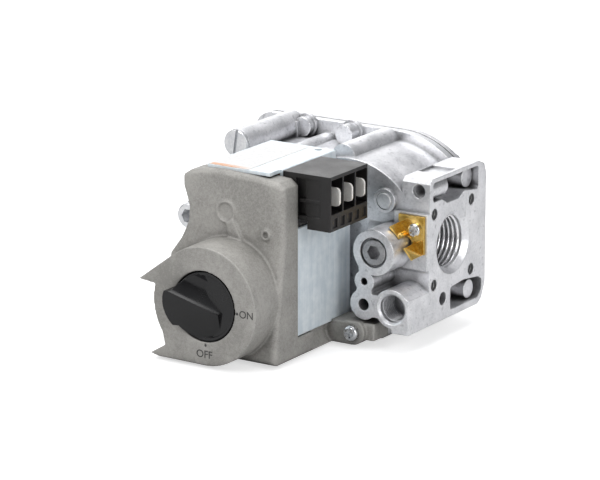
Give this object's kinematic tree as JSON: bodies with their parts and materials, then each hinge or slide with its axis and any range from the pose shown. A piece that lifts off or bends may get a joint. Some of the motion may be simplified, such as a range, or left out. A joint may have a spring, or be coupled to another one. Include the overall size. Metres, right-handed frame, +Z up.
{
  "type": "gas control valve",
  "caption": "Combination gas valve with in-line threaded ports, a front on/off knob, solenoid-operated servo pressure regulator, pilot outlet and push-on terminals.",
  "frame": {"origin": "centre of the outlet port's face, the middle of the outlet flange's screw pattern", "axes": "+X out of the outlet port along the gas flow, -Y towards the knob at the front, +Z up from the face that the valve stands on"},
  "size_m": [0.096, 0.1172, 0.0673],
  "materials": {
    "die_cast_aluminium": "bright satin die casting",
    "grey_casting": "fine matt grey casting",
    "zinc_plate": "zinc-plated sheet steel",
    "steel_screws": "bright zinc-plated steel",
    "pale_zinc": "pale turned zinc",
    "black_knob": "satin black moulding",
    "black_block": "satin black moulding",
    "tinned_brass": "tinned brass strip",
    "gold_passivate": "yellow-passivated steel",
    "label_film": "white label with an orange strip",
    "black_rubber": "moulded nitrile rubber",
    "spring_steel": "drawn spring wire",
    "plain_steel": "machined steel",
    "brass": "turned brass",
    "coil_plastic": "natural nylon moulding",
    "enamelled_wire": "enamelled copper wire"
  },
  "bodies": {
    "valve": {"valve_body": "die_cast_aluminium", "back_cover": "die_cast_aluminium", "back_cover_screws": "steel_screws", "main_diaphragm": "black_rubber", "main_valve_spring": "spring_steel", "operator_casting": "grey_casting", "foot_screw": "steel_screws", "knob_washer": "plain_steel", "shaft_seal": "black_rubber", "plug_retaining_ring": "spring_steel", "solenoid_cover": "zinc_plate", "solenoid_cover_screw": "steel_screws", "rating_label": "label_film", "terminal_block": "black_block", "terminal_spades": "tinned_brass", "ground_clip": "gold_passivate", "ground_screw": "steel_screws", "regulator_cap": "pale_zinc", "regulator_spring": "spring_steel", "servo_seat": "brass", "outlet_tap_plug": "pale_zinc", "inlet_tap_plug": "pale_zinc", "passage_plug": "pale_zinc", "inlet_screen": "plain_steel", "main_coil_bobbin": "coil_plastic", "main_coil_winding": "enamelled_wire", "main_coil_yoke": "plain_steel", "main_plunger_tube": "plain_steel", "main_fixed_core": "plain_steel", "main_plunger_spring": "spring_steel", "pilot_coil_bobbin": "coil_plastic", "pilot_coil_winding": "enamelled_wire", "pilot_coil_yoke": "plain_steel", "pilot_plunger_tube": "plain_steel", "pilot_fixed_core": "plain_steel", "pilot_plunger_spring": "spring_steel"},
    "knob": {"control_knob": "black_knob", "knob_shaft": "plain_steel", "shutoff_plug": "brass"},
    "main_valve": {"main_valve_stem": "plain_steel", "main_valve_disc": "black_rubber", "diaphragm_plates": "plain_steel"},
    "main_armature": {"main_plunger": "plain_steel", "main_plunger_seal": "black_rubber"},
    "pilot_armature": {"pilot_plunger": "plain_steel", "pilot_plunger_seal": "black_rubber"},
    "regulator_seat": {"regulator_spring_seat": "brass"},
    "regulator_screw": {"regulator_adjust_screw": "brass"},
    "servo_valve": {"servo_poppet": "brass"},
    "pilot_needle": {"pilot_needle": "brass"},
    "pilot_screw": {"pilot_adjust_screw": "brass"}
  },
  "joints": [
    {"name": "knob_turn", "type": "hinge", "parent": "valve", "child": "knob", "pos_m": [-0.05, -0.078, -0.0118], "axis": [0, -1, 0], "range_deg": [0, 90]},
    {"name": "main_valve_lift", "type": "slide", "parent": "valve", "child": "main_valve", "axis": [0, 1, 0], "range_m": [0, 0.003], "stiffness_N_per_m": 600, "springref_m": -0.004, "deforming": ["main_valve_spring", "main_diaphragm"]},
    {"name": "main_armature_lift", "type": "slide", "parent": "valve", "child": "main_armature", "axis": [0, -1, 0], "range_m": [0, 0.0015], "stiffness_N_per_m": 300, "springref_m": -0.003, "deforming": ["main_plunger_spring"]},
    {"name": "pilot_armature_lift", "type": "slide", "parent": "valve", "child": "pilot_armature", "axis": [0, -1, 0], "range_m": [0, 0.0015], "stiffness_N_per_m": 300, "springref_m": -0.003, "deforming": ["pilot_plunger_spring"]},
    {"name": "regulator_seat_travel", "type": "slide", "parent": "valve", "child": "regulator_seat", "axis": [0, 1, 0], "range_m": [-0.002, 0.003], "deforming": ["regulator_spring"]},
    {"name": "regulator_turn", "type": "hinge", "parent": "regulator_seat", "child": "regulator_screw", "pos_m": [-0.076, -0.0095, 0.0288], "axis": [0, 1, 0], "range_deg": [-722, 1082]},
    {"name": "servo_valve_lift", "type": "slide", "parent": "valve", "child": "servo_valve", "axis": [0, -1, 0], "range_m": [0, 0.0008], "stiffness_N_per_m": 500, "springref_m": -0.001, "deforming": ["regulator_spring"]},
    {"name": "pilot_needle_travel", "type": "slide", "parent": "valve", "child": "pilot_needle", "axis": [0, 1, 0], "range_m": [-0.002, 0.002]},
    {"name": "pilot_turn", "type": "hinge", "parent": "pilot_needle", "child": "pilot_screw", "pos_m": [-0.0177, -0.022, -0.0179], "axis": [0, 1, 0], "range_deg": [-1031, 1031]}
  ],
  "couplings": [
    {"joint": "regulator_turn", "follows": "regulator_seat_travel", "rad_per_m": 6283.2},
    {"joint": "pilot_turn", "follows": "pilot_needle_travel", "rad_per_m": 8976}
  ]
}
